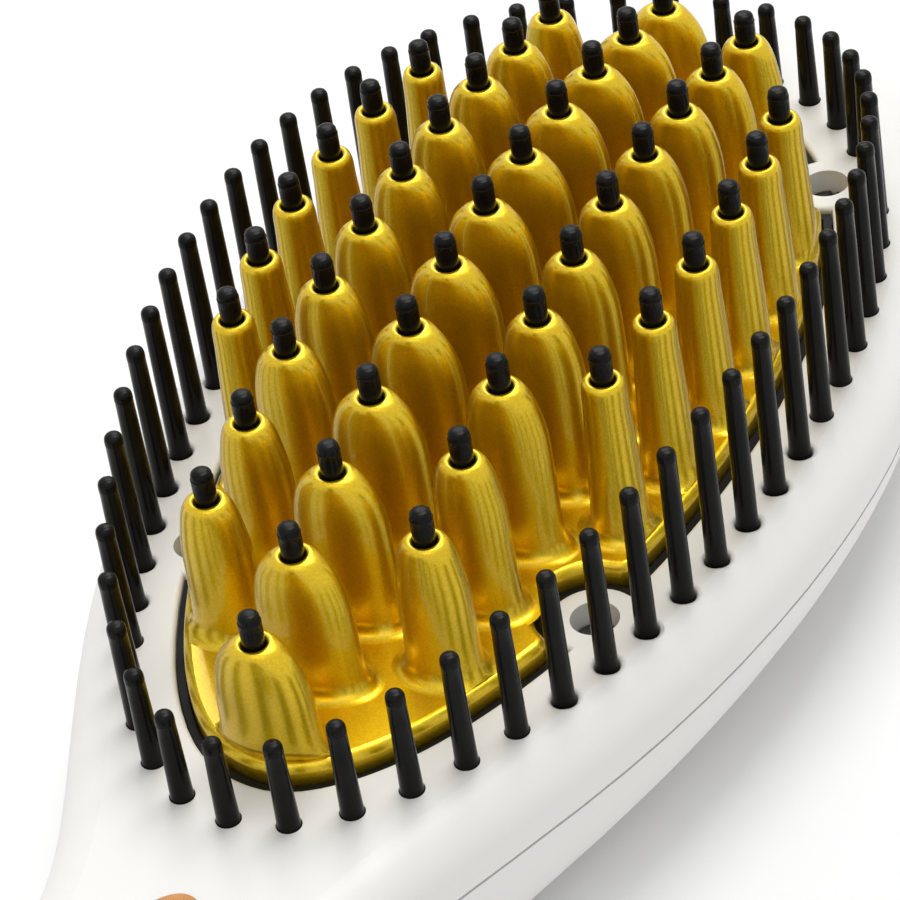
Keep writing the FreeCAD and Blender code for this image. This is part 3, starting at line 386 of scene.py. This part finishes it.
def toothRings(look, crestZ, footZ, breadth, thickness):
    rings = [(crestZ - look["holeDepth"], look["hole"], look["hole"])]
    for step in range(look["lipSteps"] + 1):
        angle = math.pi / 2 * step / look["lipSteps"]
        radius = look["hole"] + (look["crest"] - look["hole"]) * (1 - math.cos(angle))
        rings.append((crestZ - look["lip"] * (1 - math.sin(angle)), radius, radius))
    # both outlines run over the root of the depth, so that the crest comes out round
    height = crestZ - footZ
    along = [(0.0, look["crest"])] + [(depth, radius) for depth, radius, share in look["roll"]]
    wayOut = look["shoulder"][1] * breadth - look["rollRadius"]
    across = [(0.0, look["crest"])] + [(depth, radius + share * wayOut) for depth, radius, share in look["roll"]]
    low = (height - look["low"][0], *look["low"][1:])
    for depth, acrossShare, alongShare in (look["shoulder"], look["waist"], low, (height, *look["foot"])):
        across.append((depth, acrossShare * breadth))
        along.append((depth, alongShare * thickness))
    across = [(math.sqrt(depth), value) for depth, value in across]
    along = [(math.sqrt(depth), value) for depth, value in along]
    wallRoot = math.sqrt(height - look["fillet"])
    for step in range(1, look["bodySteps"] + 1):
        root = wallRoot * step / look["bodySteps"]
        rings.append((crestZ - root ** 2, easeThrough(along, root), easeThrough(across, root)))
    wallX, wallY = rings[-1][1:]
    for step in range(1, look["filletSteps"] + 1):
        angle = math.pi / 2 * step / look["filletSteps"]
        flare = look["fillet"] * (1 - math.cos(angle))
        rings.append((footZ + look["fillet"] * (1 - math.sin(angle)), wallX + flare, wallY + flare))
    outer = look["fillet"] + look["skirt"]
    rings.append((footZ - look["sunk"], wallX + outer, wallY + outer))
    return rings


def keepOnPlate(piece, footZ):
    # a foot that would hang over the plate's edge is drawn in to it
    egg = plateEgg
    for vert in piece.data.vertices:
        allowed = -egg["edge"] + egg["draft"] * max(0.0, vert.co.z - footZ)
        lean = (egg["midX"] - vert.co.x) / (egg["halfLength"] + allowed)
        side = (egg["halfWidth"] + allowed) * math.sqrt(max(0.0, 1 - lean ** 2)) * (1 - egg["lean"] * lean)
        if abs(lean) >= 1.0:
            lean = math.copysign(egg["inside"], lean)
            vert.co.x = egg["midX"] - lean * (egg["halfLength"] + allowed)
            side = (egg["halfWidth"] + allowed) * math.sqrt(1 - lean ** 2) * (1 - egg["lean"] * lean)
        if abs(vert.co.y) > side:
            vert.co.y = math.copysign(side, vert.co.y)


def makeTeeth(nodeName, name, flank):
    teeth = []
    look = {**toothLook, **flank}
    for low, high in solidBoxes(nodeName):
        x, y = (low.x + high.x) / 2, (low.y + high.y) / 2
        breadth = (high.y - low.y) / 2 / look["cadFoot"][0]
        thickness = (high.x - low.x) / 2 / look["cadFoot"][1]
        tooth = raiseRings(x, y, toothRings(look, high.z, low.z, breadth, thickness), look["sides"])
        keepOnPlate(tooth, low.z)
        teeth.append(tooth)
    finishPiece(teeth, name, "gold_plate", [nodeName])
    print(name, "made of", len(teeth))


makeTeeth("blade_teeth", "bladeTeeth", {})
makeTeeth("cone_teeth", "coneTeeth", coneFlank)


# black caps on the teeth: a straight pin with a fine parting line under a blunt dome
tipLook = {
    "sides": 24,
    "radius": 1.0 * mm,
    "seat": 1.8 * mm,
    "seatShare": 0.95,
    # height as a share of the part above the rim, radius as a share
    "rings": ((-0.02, 0.95), (0.05, 1.0), (0.40, 1.01), (0.70, 1.0), (0.715, 1.025), (0.735, 1.025), (0.75, 0.955),
              (0.83, 0.95), (0.89, 0.925), (0.935, 0.86), (0.968, 0.74), (0.988, 0.56), (0.997, 0.34), (1.0, 0.15)),
    "rimBelowTop": 3.15 * mm,
}


def makeTips():
    tips = []
    for low, high in solidBoxes("tooth_tips"):
        x, y = (low.x + high.x) / 2, (low.y + high.y) / 2
        reach = tipLook["rimBelowTop"]
        rim = high.z - reach
        seatRadius = tipLook["seatShare"] * tipLook["radius"]
        rings = [(rim - tipLook["seat"], seatRadius, seatRadius)]
        for share, width in tipLook["rings"]:
            radius = width * tipLook["radius"]
            rings.append((rim + share * reach, radius, radius))
        tips.append(raiseRings(x, y, rings, tipLook["sides"]))
    finishPiece(tips, "toothTips", "black_nylon", ["tooth_tips"])
    print("toothTips made of", len(tips))


makeTips()


# bristles round the plate: tapered pins with a flared foot and a small rounded head
bristleLook = {
    "sides": 20,
    "foot": 1.01 * mm,
    "end": 0.86 * mm,
    "faceZ": 20.7 * mm,
    "sunk": 1.2 * mm,
    "flare": ((-0.1, 1.04), (0.10, 1.035), (0.35, 1.0), (0.8, 0.99)),      # mm above the face, share of the foot
    "head": ((1.16, 0.97), (1.10, 0.995), (1.02, 1.0), (0.62, 0.99), (0.42, 0.96), (0.26, 0.89), (0.13, 0.77),
             (0.05, 0.60), (0.0, 0.36)),                                    # mm below the end, share of the end
    "taperSteps": 5,
}


def makeBristles():
    pins = []
    look = bristleLook
    for low, high in solidBoxes("bristles"):
        x, y = (low.x + high.x) / 2, (low.y + high.y) / 2
        profile = [(look["faceZ"] - look["sunk"], look["foot"])]
        profile += [(look["faceZ"] + up * mm, share * look["foot"]) for up, share in look["flare"]]
        fromZ, fromRadius = profile[-1]
        toZ, toRadius = high.z - look["head"][0][0] * mm, look["head"][0][1] * look["end"]
        for step in range(1, look["taperSteps"]):
            run = step / look["taperSteps"]
            profile.append((fromZ + run * (toZ - fromZ), fromRadius + run * (toRadius - fromRadius)))
        profile += [(high.z - down * mm, share * look["end"]) for down, share in look["head"]]
        pins.append(raiseRings(x, y, [(z, radius, radius) for z, radius in profile], look["sides"]))
    finishPiece(pins, "bristlePins", "black_nylon", ["bristles"])
    print("bristlePins made of", len(pins))


makeBristles()


# buttons on the handle: a dished cap with a rounded edge, standing on a flange and a stem
buttonLook = {
    "sides": 48,
    "stem": 1.5 * mm,
    "stemHigh": 3.0 * mm,
    "flange": 4.1 * mm,
    "flangeHigh": 1.0 * mm,
    "cap": 3.2 * mm,
    "smoothAngle": 40.0,
    # mm below the top, share of the cap's radius
    "edge": ((0.40, 1.0), (0.26, 0.985), (0.14, 0.955), (0.05, 0.91), (0.0, 0.85)),
    "dish": ((0.02, 0.80), (0.09, 0.70), (0.16, 0.55), (0.21, 0.36), (0.23, 0.12)),
}
# raised white marks in the dishes
markLook = {"below": 0.08 * mm, "deep": 0.4 * mm, "stroke": 0.44 * mm, "reach": 1.2 * mm, "ring": 1.2 * mm,
            "ringGap": math.radians(80), "ringSteps": 28, "barMiddle": 0.9 * mm, "barHalf": 0.78 * mm}


def makeButton(key):
    look = buttonLook
    low, high = solidBoxes(key + "_button")[0]
    x, y = (low.x + high.x) / 2, (low.y + high.y) / 2
    flangeZ = low.z + look["stemHigh"]
    capZ = flangeZ + look["flangeHigh"]
    profile = [(low.z, look["stem"]), (flangeZ, look["stem"]), (flangeZ, look["flange"]), (capZ, look["flange"]),
               (capZ, look["cap"])]
    profile += [(high.z - down * mm, share * look["cap"]) for down, share in look["edge"] + look["dish"]]
    cap = raiseRings(x, y, [(z, radius, radius) for z, radius in profile], look["sides"])
    finishPiece([cap], key + "Button", "button_grey", [key + "_button"], key + "_key", look["smoothAngle"])
    return Vector((x, y, high.z - markLook["below"] - markLook["deep"] / 2))


def markBlock(middle, halfX, halfY):
    takeUp(None)
    bpy.ops.mesh.primitive_cube_add(size=2.0, location=middle)
    block = bpy.context.object
    block.scale = (halfX, halfY, markLook["deep"] / 2)
    bpy.ops.object.transform_apply(location=True, rotation=True, scale=True)
    return block


def markPlus(middle):
    # the four sides of a small block are drawn out into arms
    half = markLook["stroke"] / 2
    block = markBlock(middle, half, half)
    for face in block.data.polygons:
        face.select = abs(face.normal.z) < 0.5
    bpy.ops.object.mode_set(mode="EDIT")
    bpy.ops.mesh.select_mode(type="FACE")
    bpy.ops.mesh.extrude_faces_move(TRANSFORM_OT_shrink_fatten={"value": markLook["reach"] - half})
    bpy.ops.mesh.select_mode(type="VERT")
    bpy.ops.object.mode_set(mode="OBJECT")
    return [block]


def markMinus(middle):
    return [markBlock(middle, markLook["stroke"] / 2, markLook["reach"])]


def markPower(middle):
    # a ring left open towards the head, with a bar in the opening
    half = markLook["stroke"] / 2
    takeUp(None)
    bpy.ops.mesh.primitive_plane_add(size=2.0, rotation=(math.pi / 2, 0.0, 0.0))
    ring = bpy.context.object
    ring.scale = (half, markLook["deep"] / 2, 1.0)
    ring.location = (markLook["ring"], 0.0, 0.0)
    bpy.ops.object.transform_apply(location=True, rotation=True, scale=True)
    bpy.ops.object.mode_set(mode="EDIT")
    bpy.ops.mesh.select_all(action="SELECT")
    bpy.ops.mesh.spin(steps=markLook["ringSteps"], angle=2 * math.pi - markLook["ringGap"], center=(0.0, 0.0, 0.0),
                      axis=(0.0, 0.0, 1.0))
    bpy.ops.mesh.select_all(action="SELECT")
    bpy.ops.mesh.normals_make_consistent(inside=False)
    bpy.ops.object.mode_set(mode="OBJECT")
    # turned so that the opening faces the head
    away = sum((vert.co for vert in ring.data.vertices), Vector())
    ring.rotation_euler = (0.0, 0.0, math.pi - math.atan2(away.y, away.x))
    ring.location = middle
    bpy.ops.object.transform_apply(location=True, rotation=True, scale=True)
    bar = markBlock(middle + Vector((markLook["barMiddle"], 0.0, 0.0)), markLook["barHalf"], half)
    return [ring, bar]


for key, draw in (("plus", markPlus), ("minus", markMinus), ("power", markPower)):
    finishPiece(draw(makeButton(key)), key + "Mark", "swivel_white", [], key + "_key")
print("buttons made")


# cord swivel: a turned sleeve with a flared mouth and three grip grooves outside the case
swivelLook = {
    "sides": 64,
    "bore": 3.0,
    # mm from the mouth, radius in mm
    "mouth": ((0.9, 3.0), (0.5, 3.06), (0.18, 3.26), (0.04, 3.52), (0.0, 3.75), (0.04, 4.02), (0.18, 4.30),
              (0.45, 4.50), (0.8, 4.6)),
    "grooves": (2.2, 3.8, 5.4),
    "groove": ((-0.45, 0.0), (-0.36, 0.10), (-0.22, 0.30), (0.22, 0.30), (0.36, 0.10), (0.45, 0.0)),
    "neck": 4.6,
    "flange": (17.3, 19.3, 5.6),
    "stem": (30.3, 3.8),
    "smoothAngle": 35.0,
}


def makeSwivel():
    look = swivelLook
    low, high = solidBoxes("cord_swivel")[0]
    profile = [(look["stem"][0], look["bore"])] + list(look["mouth"])
    for groove in look["grooves"]:
        profile += [(groove + along, look["neck"] - deep) for along, deep in look["groove"]]
    start, end, radius = look["flange"]
    profile += [(start, look["neck"]), (start, radius), (end, radius), (end, look["stem"][1]), look["stem"]]
    sleeve = raiseRings(0.0, 0.0, [(z * mm, radius * mm, radius * mm) for z, radius in profile], look["sides"], True)
    sleeve.rotation_euler = (0.0, math.pi / 2, 0.0)
    sleeve.location = (low.x, (low.y + high.y) / 2, (low.z + high.z) / 2)
    bpy.ops.object.transform_apply(location=True, rotation=True, scale=True)
    finishPiece([sleeve], "cordSwivel", "swivel_white", ["cord_swivel"], "swivel", look["smoothAngle"])
    print("cordSwivel made")


makeSwivel()


# floor, world and three soft lamps: a large one high beyond the tip, a smaller one lower to its left,
# and a weak one over the handle
studio = {
    "aim": (0.06, 0.0, 0.02),
    "floorSize": 12.0,
    "floorDrop": 0.0002,
    "floorColour": (0.90, 0.90, 0.90),
    "floorLift": 0.05,
    "fadeStart": 0.20,
    "fadeEnd": 0.55,
    "worldLight": 0.53,
    "key": {"place": (0.60, 0.0, 1.37), "size": 0.8, "power": 10.9},
    "rim": {"place": (1.08, 0.50, 0.97), "size": 0.5, "power": 2.6},
    "fill": {"place": (-0.55, -0.20, 1.05), "size": 0.8, "power": 1.6},
}


def backgroundRays(owner):
    # 1 for the rays that show the white background: camera, glossy and transmission
    seen = addNode(owner, "LightPath")
    total = seen.outputs["Is Camera Ray"]
    for kind in ("Is Glossy Ray", "Is Transmission Ray"):
        larger = addNode(owner, "Math", operation="MAXIMUM")
        join(owner, total, larger.inputs[0])
        join(owner, seen.outputs[kind], larger.inputs[1])
        total = larger.outputs["Value"]
    return total


def makeFloor():
    takeUp(None)
    bpy.ops.mesh.primitive_plane_add(size=studio["floorSize"], location=(0.0, 0.0, -studio["floorDrop"]))
    floor = bpy.context.object
    floor.name = "studioFloor"
    bpy.ops.object.transform_apply(location=True, rotation=True, scale=True)
    mat = bpy.data.materials.new("studio_floor_finish")
    mat.use_nodes = True
    nodes = mat.node_tree.nodes
    nodes.remove(nodes["Principled BSDF"])
    out = nodes["Material Output"]
    paint = addNode(mat, "BsdfDiffuse")
    paint.inputs["Color"].default_value = (*studio["floorColour"], 1.0)
    glow = addNode(mat, "Emission")
    rays = backgroundRays(mat)
    away = addNode(mat, "VectorMath", operation="LENGTH")
    join(mat, objectCoords(mat), away.inputs[0])
    far = spread(mat, away.outputs["Value"], 0.0, 1.0, studio["fadeStart"], studio["fadeEnd"])
    lift = addNode(mat, "Math", operation="MULTIPLY")
    lift.inputs[1].default_value = studio["floorLift"]
    join(mat, rays, lift.inputs[0])
    join(mat, lift.outputs["Value"], glow.inputs["Strength"])
    near = addNode(mat, "AddShader")
    join(mat, paint.outputs["BSDF"], near.inputs[0])
    join(mat, glow.outputs["Emission"], near.inputs[1])
    white = addNode(mat, "Emission")
    farSeen = addNode(mat, "Math", operation="MULTIPLY")
    join(mat, far, farSeen.inputs[0])
    join(mat, rays, farSeen.inputs[1])
    both = addNode(mat, "MixShader")
    join(mat, farSeen.outputs["Value"], both.inputs["Fac"])
    join(mat, near.outputs["Shader"], both.inputs[1])
    join(mat, white.outputs["Emission"], both.inputs[2])
    join(mat, both.outputs["Shader"], out.inputs["Surface"])
    floor.data.materials.append(mat)


def makeWorld():
    world = bpy.data.worlds.new("studioWorld")
    scene.world = world
    world.use_nodes = True
    back = world.node_tree.nodes["Background"]
    back.inputs["Color"].default_value = (1.0, 1.0, 1.0, 1.0)
    level = spread(world, backgroundRays(world), studio["worldLight"], 1.0, 0.0, 1.0)
    join(world, level, back.inputs["Strength"])


def makeLight(name, look):
    data = bpy.data.lights.new(name, "AREA")
    data.size = look["size"]
    data.energy = look["power"]
    lamp = bpy.data.objects.new(name, data)
    scene.collection.objects.link(lamp)
    aim = Vector(studio["aim"]) - Vector(look["place"])
    lamp.matrix_world = Matrix.Translation(look["place"]) @ aim.to_track_quat("-Z", "Y").to_matrix().to_4x4()
    lamp.visible_camera = False


makeFloor()
makeWorld()
for lamp in ("key", "rim", "fill"):
    makeLight(lamp + "Light", studio[lamp])
print("studio set")
